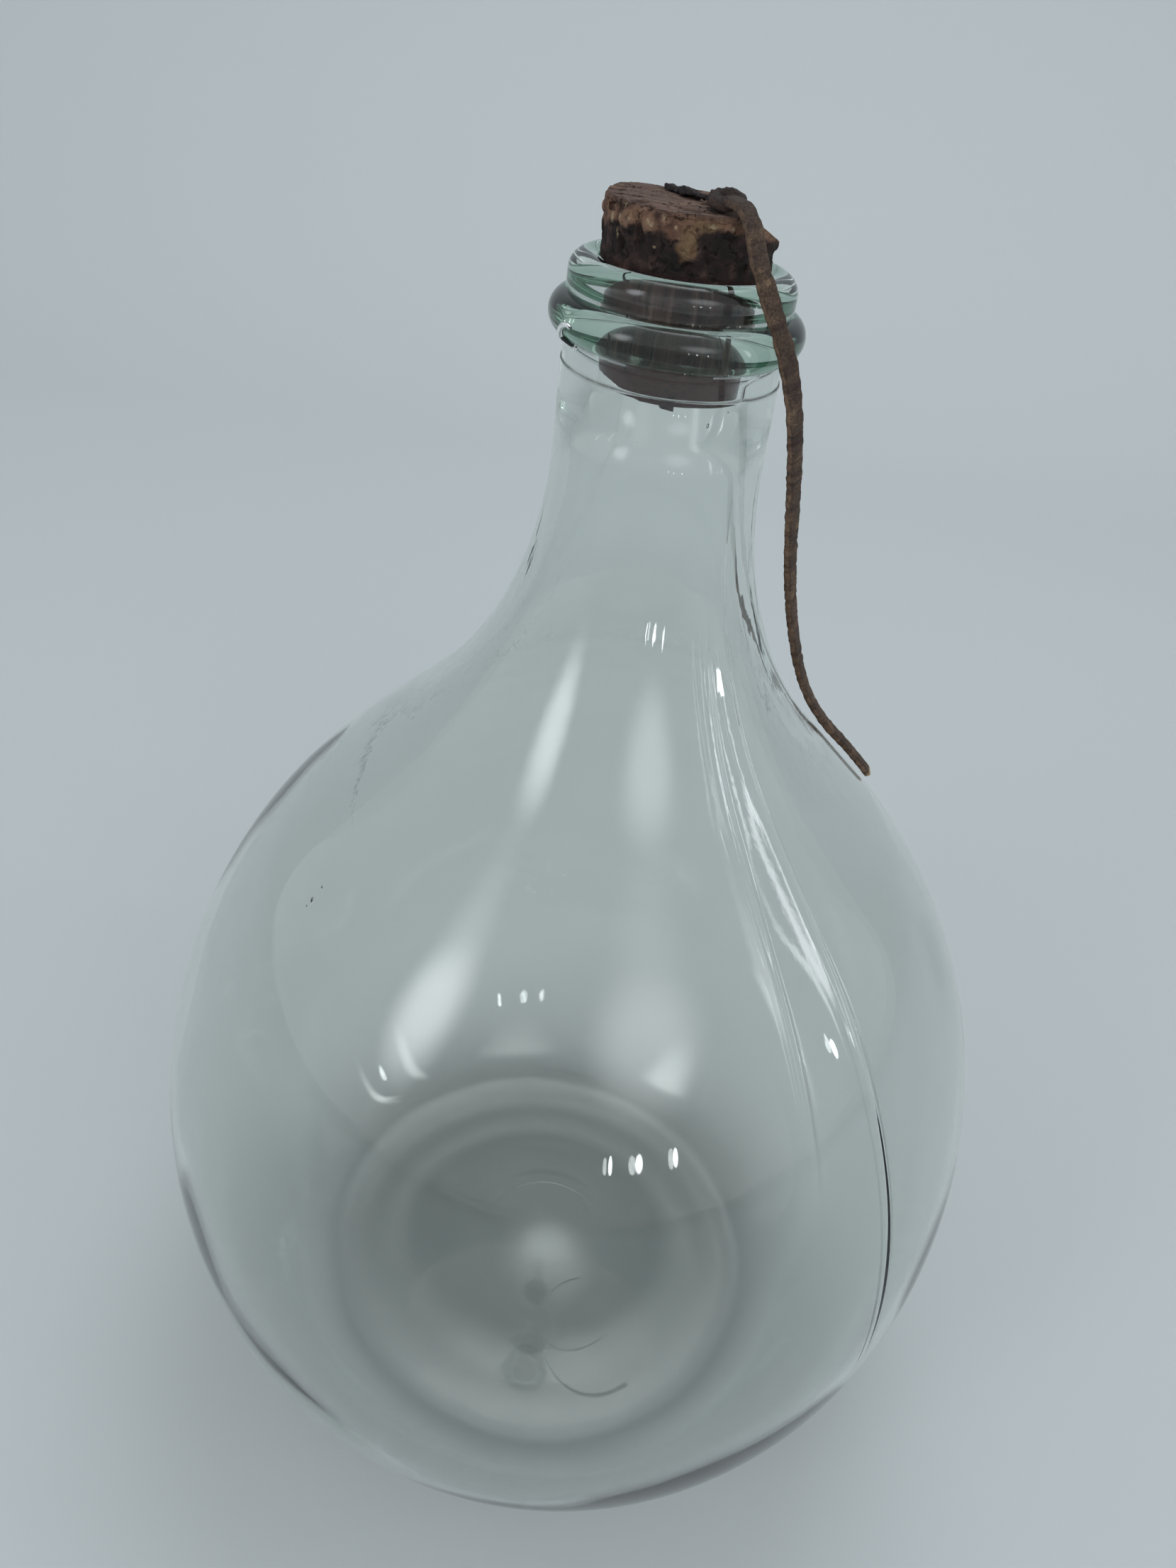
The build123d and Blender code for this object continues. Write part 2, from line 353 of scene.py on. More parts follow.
# ---- node helpers ----
class Nodes:
    """A short way to build a node tree: add() makes a node and link() joins sockets."""

    def __init__(self, name):
        self.material = bpy.data.materials.new(name)
        self.material.use_nodes = True
        self.tree = self.material.node_tree
        self.shader = self.tree.nodes["Principled BSDF"]
        self.output = self.tree.nodes["Material Output"]

    def add(self, kind, **settings):
        node = self.tree.nodes.new(kind)
        for key, value in settings.items():
            setattr(node, key, value)
        return node

    def link(self, source, target):
        self.tree.links.new(source, target)

    def fill(self, sockets, values):
        """Links each socket to another one, or gives it a number or a colour."""
        for socket, value in zip(sockets, values):
            if isinstance(value, bpy.types.NodeSocket):
                self.link(value, socket)
            elif isinstance(value, (int, float)):
                socket.default_value = value
            else:
                socket.default_value = (*value, 1)

    def place(self, scale=(1, 1, 1)):
        """Object coordinates in metres, scaled."""
        coordinates = self.add("ShaderNodeTexCoord")
        mapping = self.add("ShaderNodeMapping")
        mapping.inputs["Scale"].default_value = scale
        self.link(coordinates.outputs["Object"], mapping.inputs["Vector"])
        return mapping.outputs["Vector"]

    def noise(self, scale, detail=4, roughness=0.55, distortion=0.0, stretch=(1, 1, 1)):
        node = self.add("ShaderNodeTexNoise")
        node.inputs["Scale"].default_value = scale
        node.inputs["Detail"].default_value = detail
        node.inputs["Roughness"].default_value = roughness
        node.inputs["Distortion"].default_value = distortion
        self.link(self.place(stretch), node.inputs["Vector"])
        return node.outputs["Fac"]

    def cells(self, scale):
        node = self.add("ShaderNodeTexVoronoi")
        node.inputs["Scale"].default_value = scale
        self.link(self.place(), node.inputs["Vector"])
        return node.outputs["Distance"]

    def attribute(self, name):
        return self.add("ShaderNodeAttribute", attribute_name=name).outputs["Fac"]

    def ramp(self, value, stops):
        """Maps a value through (position, colour or grey) stops."""
        node = self.add("ShaderNodeValToRGB")
        elements = node.color_ramp.elements
        while len(elements) < len(stops):
            elements.new(0.5)
        for element, (position, colour) in zip(elements, stops):
            element.position = position
            grey = (colour,) * 3 if isinstance(colour, (int, float)) else colour
            element.color = (*grey, 1)
        self.link(value, node.inputs["Fac"])
        return node.outputs["Color"]

    def mix(self, factor, first, second, blend="MIX"):
        node = self.add("ShaderNodeMix", data_type="RGBA", blend_type=blend)
        self.fill((node.inputs["Factor"], node.inputs[6], node.inputs[7]), (factor, first, second))
        return node.outputs[2]

    def math(self, operation, first, second=0.0):
        node = self.add("ShaderNodeMath", operation=operation)
        self.fill(node.inputs[:2], (first, second))
        return node.outputs[0]

    def bump(self, height, distance, strength=1.0, under=None):
        node = self.add("ShaderNodeBump")
        node.inputs["Strength"].default_value = strength
        node.inputs["Distance"].default_value = distance
        self.link(height, node.inputs["Height"])
        if under is not None:
            self.link(under, node.inputs["Normal"])
        return node.outputs["Normal"]


# ---- materials ----
# shades from dark to light, each at its place in the noise that spreads them
BARK_SHADES = [(0.32, (0.045, 0.022, 0.016)), (0.50, (0.125, 0.066, 0.044)), (0.66, (0.230, 0.132, 0.084))]
GRAIN_SHADES = [(0.34, (0.045, 0.027, 0.021)), (0.48, (0.150, 0.090, 0.068)), (0.66, (0.270, 0.172, 0.128))]
SOOT_SHADES = [(0.34, (0.008, 0.005, 0.005)), (0.54, (0.026, 0.016, 0.014)), (0.70, (0.095, 0.056, 0.048))]
WET_SHADES = [(0.34, (0.028, 0.009, 0.008)), (0.52, (0.070, 0.032, 0.025)), (0.68, (0.165, 0.100, 0.078))]
CHIP_SHADES = [(0.30, (0.050, 0.026, 0.014)), (0.48, (0.112, 0.066, 0.036)), (0.68, (0.210, 0.135, 0.074))]
HIDE_SHADES = [(0.34, (0.046, 0.029, 0.022)), (0.52, (0.085, 0.056, 0.040)), (0.72, (0.190, 0.128, 0.080))]


def glass_material(name, tint, absorption_colour, absorption_density, haze):
    """Clear glass that tints with depth, with handling marks, and painted shade that darkens it along the
    mould line and the finish's seam.
    """
    n = Nodes(name)
    shader = n.shader
    shader.inputs["Transmission Weight"].default_value = 1.0
    shader.inputs["IOR"].default_value = GLASS_IOR
    n.link(n.math("SUBTRACT", 1.0, n.attribute("fused")), shader.inputs["Alpha"])
    patchy = n.ramp(n.noise(300), [(0.3, 0.55), (0.6, 1.0)])
    painted_line_shade = n.math("MULTIPLY", n.attribute("painted_line_shade"), patchy)
    # painted shade: the base colour goes nearly black along the mould line and the finish's seam
    n.link(n.mix(painted_line_shade, tint, (0.05, 0.035, 0.028)), shader.inputs["Base Color"])
    marks = n.noise(38, detail=6, roughness=0.7)
    film = n.ramp(marks, [(0.42, haze * 0.15), (0.72, haze)])
    n.link(n.mix(painted_line_shade, film, (0.5, 0.5, 0.5)), shader.inputs["Roughness"])
    draw_lines = n.math("MULTIPLY", n.noise(330, detail=2, stretch=(1, 1, 0.02)), n.attribute("drawn"))
    n.link(n.bump(draw_lines, DRAW_LINE_DEPTH * MM), shader.inputs["Normal"])
    volume = n.add("ShaderNodeVolumeAbsorption")
    volume.inputs["Color"].default_value = (*absorption_colour, 1)
    volume.inputs["Density"].default_value = absorption_density
    n.link(volume.outputs["Volume"], n.output.inputs["Volume"])
    return n.material


def cork_material():
    """Old cork: fibrous and grey-brown on top, knobbly and tan at the side, stained black lower down."""
    n = Nodes("cork_old")
    fibres = n.noise(950, detail=6, roughness=0.7, stretch=(0.16, 1.0, 0.8))
    blotches = n.noise(230, detail=6, roughness=0.62, distortion=0.5)
    fine = n.noise(1700, detail=5, roughness=0.75)
    bark = n.ramp(blotches, BARK_SHADES)
    grain = n.ramp(fibres, GRAIN_SHADES)
    greying = n.ramp(n.noise(60, detail=2), [(0.35, 0.0), (0.65, 0.75)])
    grain = n.mix(greying, grain, (0.128, 0.088, 0.075))
    gashes = n.ramp(fibres, [(0.36, 0.0), (0.42, 1.0)])
    grain = n.mix(1.0, grain, n.mix(gashes, (0.35, 0.27, 0.25), (1, 1, 1)), blend="MULTIPLY")
    grain = n.mix(n.attribute("gash"), grain, (0.030, 0.019, 0.017))
    colour = n.mix(n.attribute("top_face"), bark, grain)
    colour = n.mix(n.attribute("knob"), colour, (0.27, 0.158, 0.104))
    soot = n.ramp(blotches, SOOT_SHADES)
    colour = n.mix(n.attribute("stain"), colour, soot)
    streaks = n.noise(420, roughness=0.6, stretch=(1, 1, 0.14))
    patches = n.noise(120, detail=3, roughness=0.5, stretch=(1, 1, 0.5))
    wet = n.ramp(streaks, WET_SHADES)
    wet = n.mix(n.ramp(patches, [(0.43, 0.9), (0.54, 0.0)]), wet, (0.020, 0.007, 0.007))
    wet = n.mix(n.math("MULTIPLY", n.attribute("foot"), 0.8), wet, (0.075, 0.018, 0.015))
    colour = n.mix(n.attribute("in_bore"), colour, wet)
    cracks = n.ramp(n.noise(430, detail=7, roughness=0.66, distortion=1.3), [(0.37, 0.0), (0.43, 1.0)])
    colour = n.mix(1.0, colour, n.mix(cracks, (0.25, 0.19, 0.18), (1, 1, 1)), blend="MULTIPLY")
    chip = n.ramp(blotches, CHIP_SHADES)
    colour = n.mix(n.attribute("chip"), colour, chip)
    speck = n.ramp(fine, [(0.35, (0.17, 0.115, 0.07)), (0.62, (0.40, 0.31, 0.20))])
    colour = n.mix(n.attribute("crumb"), colour, speck)
    n.link(colour, n.shader.inputs["Base Color"])
    n.link(n.ramp(blotches, [(0.3, 0.74), (0.7, 0.95)]), n.shader.inputs["Roughness"])
    n.shader.inputs["Specular IOR Level"].default_value = 0.3
    relief = n.bump(cracks, 0.0005, 0.9)
    relief = n.bump(fibres, 0.0004, 0.9, under=relief)
    relief = n.bump(fine, 0.00025, 0.9, under=relief)
    n.link(relief, n.shader.inputs["Normal"])
    return n.material


def leather_material():
    """A flat lace of dark brown leather: fibrous, paler along its edges from rubbed wear and a painted
    highlight, with painted shade in its creases, raw at its tip.
    """
    n = Nodes("leather_lace")
    cloudy = n.noise(190, detail=6, roughness=0.65)
    fibres = n.noise(2100, detail=5, roughness=0.8)
    colour = n.ramp(cloudy, HIDE_SHADES)
    specks = n.ramp(fibres, [(0.38, (0.45, 0.42, 0.42)), (0.50, (1, 1, 1)), (0.66, (1.9, 1.8, 1.7))])
    colour = n.mix(1.0, colour, specks, blend="MULTIPLY")
    patchy = n.ramp(n.noise(600, detail=3), [(0.35, 0.15), (0.62, 0.9)])
    # paler edges: partly rubbed wear, partly a painted highlight
    edge_wear_and_highlight = n.math("MULTIPLY", n.attribute("edge"), patchy)
    colour = n.mix(edge_wear_and_highlight, colour, (0.24, 0.150, 0.098))
    # painted shade: the lace darkens in its creases, more on one side of each
    colour = n.mix(n.math("MULTIPLY", n.attribute("crease_shade"), 0.7), colour, (0.020, 0.011, 0.010))
    charcoal = n.ramp(fibres, [(0.35, (0.010, 0.008, 0.010)), (0.65, (0.052, 0.040, 0.040))])
    colour = n.mix(n.attribute("charred"), colour, charcoal)
    raw = n.ramp(fibres, [(0.3, (0.28, 0.19, 0.10)), (0.6, (0.62, 0.48, 0.29))])
    colour = n.mix(n.attribute("raw_tip"), colour, raw)
    n.link(colour, n.shader.inputs["Base Color"])
    n.shader.inputs["Specular IOR Level"].default_value = 0.3
    n.link(n.ramp(cloudy, [(0.3, 0.66), (0.7, 0.86)]), n.shader.inputs["Roughness"])
    relief = n.bump(fibres, 0.00022, 1.0)
    relief = n.bump(n.cells(1500), 0.0002, 0.6, under=relief)
    n.link(relief, n.shader.inputs["Normal"])
    return n.material


CLEAR_GLASS = glass_material("glass_clear_green", (0.897, 0.914, 0.898), (0.45, 0.68, 0.55), 5.0, 0.03)
GREEN_GLASS = glass_material("glass_string_green", (0.85, 0.895, 0.862), (0.07, 0.43, 0.26), 98.0, 0.03)
DARK_GLASS = glass_material("glass_curl_green", (0.20, 0.33, 0.25), (0.10, 0.56, 0.36), 58.0, 0.03)
CORK = cork_material()
LEATHER = leather_material()


# ---- glass ----
def joining_angle(low_centre, low_radius, high_centre, high_radius):
    """The angle at which the straight stretch leaves the shoulder arc for the throat arc."""
    across, up = high_centre[0] - low_centre[0], high_centre[1] - low_centre[1]
    return math.atan2(up, across) - math.acos((low_radius + high_radius) / math.hypot(across, up))


def wall_outline(inset, heel_radius, floor, throat_inset):
    """The body's outline from the base to the throat, moved in by the wall's thickness."""
    shoulder_centre = (BODY_RADIUS - SHOULDER_ARC, WIDEST_HEIGHT)
    belly_centre = (BODY_RADIUS - BELLY_ARC, WIDEST_HEIGHT)
    shoulder_radius, belly_radius = SHOULDER_ARC - inset, BELLY_ARC - inset
    throat_radius = THROAT_ARC + throat_inset
    heel_height = floor + heel_radius
    reach = belly_radius - heel_radius
    heel_across = belly_centre[0] + math.sqrt(reach**2 - (WIDEST_HEIGHT - heel_height) ** 2)
    heel_centre = (heel_across, heel_height)
    heel_end = math.atan2(heel_height - WIDEST_HEIGHT, heel_centre[0] - belly_centre[0])
    leave = joining_angle(shoulder_centre, shoulder_radius, THROAT_CENTRE, throat_radius)
    shoulder_end = on_circle(shoulder_centre, shoulder_radius, leave)
    throat_start = on_circle(THROAT_CENTRE, throat_radius, leave + math.pi)
    return chain(
        arc(heel_centre, heel_radius, -math.pi / 2, heel_end, 3),
        arc(belly_centre, belly_radius, heel_end, 0, 4),
        arc(shoulder_centre, shoulder_radius, 0, leave, 4),
        line(shoulder_end, throat_start, 5),
        arc(THROAT_CENTRE, throat_radius, leave + math.pi, math.pi, 3),
    )


def swapped(points):
    """The same points with their two coordinates the other way round."""
    return [(b, a) for a, b in points]


def bottle_outline():
    """The whole section as one line: push-up, outside, lip, bore, inside and floor."""
    outer = wall_outline(0, HEEL_ARC, 0, 0)
    inner = wall_outline(BODY_WALL, HEEL_WALL_ARC, BASE_THICKNESS, THROAT_WALL)
    lip_centre = (BORE_MOUTH_RADIUS + LIP_ROUND, LIP_ROUND_HEIGHT)
    collar_radius = lip_centre[0] + LIP_ROUND
    mould_radius = NECK_RADIUS + MOULD_LINE_STEP
    bore_foot = (BORE_FOOT_RADIUS, MOULD_LINE_HEIGHT - 2)
    outside = chain(
        swapped(double_bend((PUSH_UP_HEIGHT, 0), (0, CONTACT_RING_INNER), 1)),
        line((CONTACT_RING_INNER, 0), tuple(outer[0]), 4),
        outer,
        straights(
            tuple(outer[-1]),
            ((mould_radius, MOULD_LINE_HEIGHT - MOULD_LINE_STEP - 2), 1.5),
            ((mould_radius, MOULD_LINE_HEIGHT - MOULD_LINE_STEP), 0.15),
            ((NECK_RADIUS, MOULD_LINE_HEIGHT), 0.1),
            ((NECK_RADIUS, MOULD_LINE_HEIGHT + 1.5), 0.12),
            ((NECK_RADIUS, MOULD_LINE_HEIGHT + 5), 0.3),
            ((NECK_RADIUS, COLLAR_UNDERCUT_HEIGHT), 1.2),
            ((collar_radius, COLLAR_FOOT_HEIGHT), 0.4),
            ((collar_radius, LIP_ROUND_HEIGHT), 0.7),
        ),
        arc(lip_centre, LIP_ROUND, 0, math.pi / 2, 0.6),
    )
    inside = chain(
        arc(lip_centre, LIP_ROUND, math.pi / 2, math.pi, 0.6),
        line((BORE_MOUTH_RADIUS, LIP_ROUND_HEIGHT), bore_foot, 1.2),
        double_bend(bore_foot, tuple(inner[-1]), 1.2),
        inner[::-1],
        swapped(double_bend((BASE_THICKNESS, inner[0][0]), (PUSH_UP_HEIGHT + BASE_THICKNESS, 0), 3)),
    )
    return outside, inside


def bottle_headings():
    """Headings round the glass, close together where a seam or mark needs it."""
    headings = set(np.arange(0, 360, 1.25).round(3))
    headings |= set(np.arange(38, 52, 0.4).round(3))
    for mark in (*BODY_SEAMS, STRETCH_MARK):
        headings |= set(np.arange(mark - 1.2, mark + 1.21, 0.1).round(3))
    return np.array(sorted(headings))


def waves(headings, count_range, amplitude, seed):
    """Many small waves added up, each with a whole count in 360 degrees."""
    rng = np.random.default_rng(seed)
    total = np.zeros_like(headings)
    counts = np.arange(*count_range)
    for count in counts:
        total += rng.normal() * np.cos(np.radians(headings) * count + rng.uniform(0, 2 * math.pi))
    return amplitude * total / math.sqrt(len(counts))


def finish_seam_gap(headings, radius, height):
    """Millimetres round the neck from the finish's seam, which swings aside just above the mould line."""
    swing = 1 - smooth_step(height, MOULD_LINE_HEIGHT + 3.1, MOULD_LINE_HEIGHT + 5.3)
    seam = FINISH_SEAM + (FINISH_SEAM_FOOT - FINISH_SEAM) * swing
    return np.radians(heading_gap(headings, seam)) * radius


def outside_relief(headings, radius, height, points):
    """How far the outer surface stands out from its outline, in millimetres."""
    in_body = between(height, *SEAM_REACH)
    relief = np.zeros_like(headings)
    seam_width = 0.8 + 1.2 * smooth_step(height, 165, 260)
    for seam, strength in BODY_SEAMS.items():
        away = np.radians(heading_gap(headings, seam)) * radius
        profile = SEAM_RISE * bump(away, seam_width) + SEAM_CREST_RISE * bump(away, SEAM_CREST_WIDTH)
        relief += strength * profile * in_body
    stretch = np.radians(heading_gap(headings, STRETCH_MARK)) * radius
    relief += STRETCH_RISE * bump(stretch, 0.9) * between(height, *STRETCH_REACH)
    if radius > NECK_RADIUS - 2:
        above = smooth_step(height, MOULD_LINE_HEIGHT - 0.6, MOULD_LINE_HEIGHT + 0.6)
        relief += FINISH_SEAM_RISE * bump(finish_seam_gap(headings, radius, height), 0.36) * above
        relief += MOULD_LINE_RISE * bump(height - mould_line(headings), 0.28)
    if height < PUSH_UP_HEIGHT + 1 and radius < CONTACT_RING_INNER:
        relief += BASE_MARK_RISE * bump(radius - BASE_MARK_RADIUS, 1.3)
    drawn = between(height, *WAVES_REACH)
    relief += waves(headings, (12, 50), 0.006, 3) * drawn
    relief += waves(headings, (3, 10), 0.05, 4) * drawn
    rolling = 0.5 + 0.5 * noise_at(points, 55, 2.0)
    relief -= ROLLING_DEPTH * rolling * between(height, *ROLLING_REACH)
    return relief


def mould_line(headings):
    """Height of the line below the finish; it steps up a little where the finish's seam meets it."""
    return MOULD_LINE_HEIGHT + 0.35 * bump(heading_gap(headings, FINISH_SEAM_FOOT), 4)


def outside_painted_shade(headings, radius, height):
    """Painted shade in the mould line and, fainter, along the finish's seam."""
    if radius < NECK_RADIUS - 2 or height < MOULD_LINE_HEIGHT - 3:
        return np.zeros_like(headings)
    mould_line_shade = 0.98 * bump(height - mould_line(headings) - 0.12, 0.40)
    seam_away = finish_seam_gap(headings, radius, height)
    above_line = smooth_step(height, MOULD_LINE_HEIGHT - 0.3, MOULD_LINE_HEIGHT + 0.3)
    below_ring = 1 - smooth_step(height, RING_BOTTOM + 1, RING_BOTTOM + 3)
    seam_shade = bump(seam_away - 0.15, 0.26) * above_line * (0.12 + 0.63 * below_ring)
    return np.maximum(mould_line_shade, seam_shade)


def inside_relief(headings, height, points):
    """How far the inner surface stands into the cavity: blown glass is uneven inside."""
    drawn = between(height, *INSIDE_WAVES_REACH)
    relief = INSIDE_ROLL * noise_at(points, 62, 11.0) + 0.08 * noise_at(points, 28, 5.0)
    relief = relief * between(height, *INSIDE_ROLL_REACH) * (1 - 0.85 * drawn)
    relief += waves(headings, (8, 30), 0.007, 8) * drawn
    relief += waves(headings, (1, 5), 0.12, 9) * drawn
    around = bump(heading_gap(headings, THROAT_STREAK[0]), 10)
    relief += THROAT_STREAK_RISE * around * bump(height - THROAT_STREAK[1], 12)
    return relief


def wall_radius(outline, height):
    """Radius of the outside at a height above the heel."""
    above = outline[(outline[:, 1] > 60) & (outline[:, 1] < MOULD_LINE_HEIGHT - 3)]
    return np.interp(height, above[:, 1], above[:, 0])


def seed_cavity(heading, height, half_length, half_width, radius):
    """A bubble in the wall as an inward-facing egg, drawn out along the neck."""
    angle = math.radians(heading)
    out = np.array([math.cos(angle), -math.sin(angle), 0])
    side = np.array([math.sin(angle), math.cos(angle), 0])
    up = np.array([0, 0, half_length])
    centre = out * (radius - BODY_WALL / 2) + np.array([0, 0, height])
    rings, columns = 7, 12
    turns = np.arange(columns) * 2 * math.pi / columns
    circle = half_width * (np.outer(np.cos(turns), out) + np.outer(np.sin(turns), side))
    tilts = np.arange(1, rings) * math.pi / rings
    rows = [centre + math.sin(tilt) * circle + math.cos(tilt) * up for tilt in tilts]
    return np.vstack([*rows, [centre + up], [centre - up]]), closed_faces(rings - 1, columns)


def glass_bottle():
    outside, inside = bottle_outline()
    outline = np.vstack([outside, inside[1:]])
    normals = outline_normals(outline)
    headings = bottle_headings()
    angle = np.radians(headings)
    rows, painted_line_shade, drawn, fused = [], [], [], []
    for index, ((radius, height), (out, up)) in enumerate(zip(outline, normals)):
        ring = circle_at(angle, radius, height)
        drawn.append(np.full_like(angle, between(height, *DRAW_LINE_REACH)))
        under_ring = index < len(outside) and RING_BOTTOM + 0.25 < height < RING_TOP - 0.25
        fused.append(np.full_like(angle, under_ring))
        line_shade = np.zeros_like(angle)
        if radius < 1e-6:
            relief = np.zeros_like(angle)
        elif index < len(outside):
            relief = outside_relief(headings, radius, height, ring)
            # painted shade along the mould line and the finish's seam
            line_shade = outside_painted_shade(headings, radius, height)
        else:
            relief = inside_relief(headings, height, ring)
        ring[:, 0] += relief * out * np.cos(angle)
        ring[:, 1] -= relief * out * np.sin(angle)
        ring[:, 2] += relief * up
        rows.append(ring)
        painted_line_shade.append(line_shade)
    points = np.vstack([*rows[1:-1], rows[0][:1], rows[-1][:1]])
    faces = reversed_faces(closed_faces(len(rows) - 2, len(headings)))
    for seed in SEEDS:
        egg, egg_faces = seed_cavity(*seed, wall_radius(outside, seed[1]))
        faces += [tuple(len(points) + i for i in face) for face in egg_faces]
        points = np.vstack([points, egg])
    piece = new_piece("demijohn_glass", points, faces, "bottle", CLEAR_GLASS)
    for name, values in (("painted_line_shade", painted_line_shade), ("drawn", drawn), ("fused", fused)):
        on_wall = np.concatenate(values[1:-1])
        add_attribute(piece, name, np.concatenate([on_wall, np.zeros(len(points) - len(on_wall))]))
    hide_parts("glass_bottle")


def ring_section():
    """Centre and radius of the arc that the ring's outer face follows in section."""
    half = (RING_TOP - RING_BOTTOM) / 2
    arc_radius = (half**2 + RING_PROUD**2) / (2 * RING_PROUD)
    return (NECK_RADIUS + RING_PROUD - arc_radius, (RING_BOTTOM + RING_TOP) / 2), arc_radius


def string_ring():
    """The trail of thick green glass laid round the neck by hand, so it sways and swells a little.

    It is fused to the neck, so the faces where the two meet don't bend or reflect light.
    """
    centre, arc_radius = ring_section()
    reach = math.acos((NECK_RADIUS - centre[0]) / arc_radius)
    headings = np.arange(0, 360, 0.75)
    angle = np.radians(headings)
    swell = waves(headings, (1, 6), RING_SWELL, 21) - RING_SLACK
    sway = waves(headings, (1, 4), RING_SWAY, 22)
    rows = []
    for turn in np.linspace(-reach, reach, 40):
        across = math.cos(turn)
        swollen = arc_radius + swell * across
        radius = np.minimum(centre[0] + swollen * across, NECK_RADIUS + RING_PROUD)
        height = centre[1] + swollen * math.sin(turn) + sway * across
        rows.append(circle_at(angle, radius, height))
    for height in np.linspace(RING_TOP, RING_BOTTOM, RING_INNER_ROWS):
        rows.append(circle_at(angle, NECK_RADIUS - RING_SINK, height))
    faces = reversed_faces(grid_faces(len(rows), len(headings), closed_rows=True))
    piece = new_piece("string_ring_glass", np.vstack(rows), faces, "bottle", GREEN_GLASS)
    on_neck = np.arange(len(rows)) >= len(rows) - RING_INNER_ROWS
    add_attribute(piece, "fused", np.repeat(on_neck.astype(float), len(headings)))
    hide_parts("string_ring")


def ring_curl():
    """The last of the trail, drawn out thin and curled under the ring."""
    centre, arc_radius = ring_section()
    route = []
    for heading, height in CURL_ROUTE:
        angle = math.radians(heading)
        rise = min(1, abs(height - centre[1]) / arc_radius)
        radius = max(NECK_RADIUS, centre[0] + arc_radius * math.sqrt(1 - rise**2)) + CURL_LIFT
        route.append((radius * math.cos(angle), -radius * math.sin(angle), height))
    path, _ = evenly_spaced(smooth_route(route) / MM, 0.15)
    thickness = CURL_THICKNESS * np.sin(np.linspace(0.25, math.pi - 0.15, len(path))) ** 0.5
    points, faces = tube(path, thickness, thickness, 14)
    piece = new_piece("ring_curl_glass", points, faces, "bottle", DARK_GLASS)


# ---- cork ----
def cork_outline():
    """The cork's section from the middle of its top round to the middle of its foot."""
    lip_centre = (BORE_MOUTH_RADIUS + LIP_ROUND, LIP_ROUND_HEIGHT)
    around_lip = LIP_ROUND + CORK_FIT_GAP
    seat = math.acos((CORK_HEAD_FOOT_RADIUS - lip_centre[0]) / around_lip)
    foot_radius = BORE_FOOT_RADIUS - CORK_FIT_GAP
    head = straights(
        (0, CORK_TOP),
        ((CORK_TOP_RADIUS - CORK_EDGE_CHAMFER, CORK_TOP), 0.4),
        ((CORK_TOP_RADIUS, CORK_TOP - CORK_EDGE_CHAMFER), 0.3),
        (on_circle(lip_centre, around_lip, seat), 0.28),
    )
    shank = straights(
        (BORE_MOUTH_RADIUS - CORK_FIT_GAP, LIP_ROUND_HEIGHT),
        ((foot_radius, CORK_BOTTOM + CORK_FOOT_CHAMFER), 0.5),
        ((foot_radius - CORK_FOOT_CHAMFER, CORK_BOTTOM), 0.4),
        ((0, CORK_BOTTOM), 1.2),
    )
    return chain(head, arc(lip_centre, around_lip, seat, math.pi, 0.4), shank)


def cut_with_knife(points, cut, height):
    """Moves what stands outside one flat of the hand-cut cork down onto it, and says how far."""
    heading, distance, lean = cut
    turn, tilt = math.radians(heading), math.radians(lean)
    out = np.array([math.cos(turn), math.sin(turn), 0])
    normal = out * math.cos(tilt) + np.array([0, 0, math.sin(tilt)])
    over = np.clip((points - (out * distance + np.array([0, 0, height]))) @ normal, 0, None)
    return points - over[:, None] * normal, over


def scattered_marks(count, sizes, heights, seed, rise=()):
    """The same kind of marks on the cork's far side, where no listed ones are."""
    rng = np.random.default_rng(seed)
    marks = []
    for _ in range(count):
        heading, height, size = rng.uniform(168, 402), rng.uniform(*heights), rng.uniform(*sizes)
        marks.append((heading, height, size, size * rng.uniform(0.7, 1.5), *rise))
    return marks


def mark_distance(points, mark):
    """Distance over the cork's side from a mark's middle, in parts of its half width and half height."""
    heading = np.degrees(np.arctan2(-points[:, 1], points[:, 0]))
    around = np.radians(heading_gap(heading, mark[0])) * CORK_TOP_RADIUS
    return np.hypot(around / mark[2], (points[:, 2] - mark[1]) / mark[3])


def marked(points, marks, ragged, low, high):
    """1 inside a set of marks and 0 outside, with an edge that runs between two distances."""
    inside = np.zeros(len(points))
    for mark in marks:
        inside = np.maximum(inside, 1 - smooth_step(mark_distance(points, mark) + ragged, low, high))
    return inside


def cut_cork():
    """The cork's points after the knife, the way each faces, how much it lies on the slant, and faces."""
    outline = cork_outline()
    normals = -outline_normals(outline)
    angle = np.radians(np.arange(0, 360, CORK_TURN_STEP))
    circle = np.stack([np.cos(angle), np.sin(angle)], axis=1)
    rows, directions = [], []
    for (radius, height), (out, up) in zip(outline[1:-1], normals[1:-1]):
        rows.append(np.column_stack([circle * radius, np.full(len(angle), height)]))
        directions.append(np.column_stack([circle * out, np.full(len(angle), up)]))
    points = np.vstack([*rows, [[0, 0, CORK_TOP]], [[0, 0, CORK_BOTTOM]]])
    directions = np.vstack([*directions, [[0, 0, 1]], [[0, 0, -1]]])
    points, over = cut_with_knife(points, TOP_CUTS[0], CORK_TOP)
    slant = smooth_step(over, 0.1, 0.6)
    for cut in TOP_CUTS[1:]:
        points, _ = cut_with_knife(points, cut, CORK_TOP)
    points, _ = cut_with_knife(points, FOOT_CUT, CORK_BOTTOM)
    return points, directions, slant, reversed_faces(closed_faces(len(rows), len(angle)))


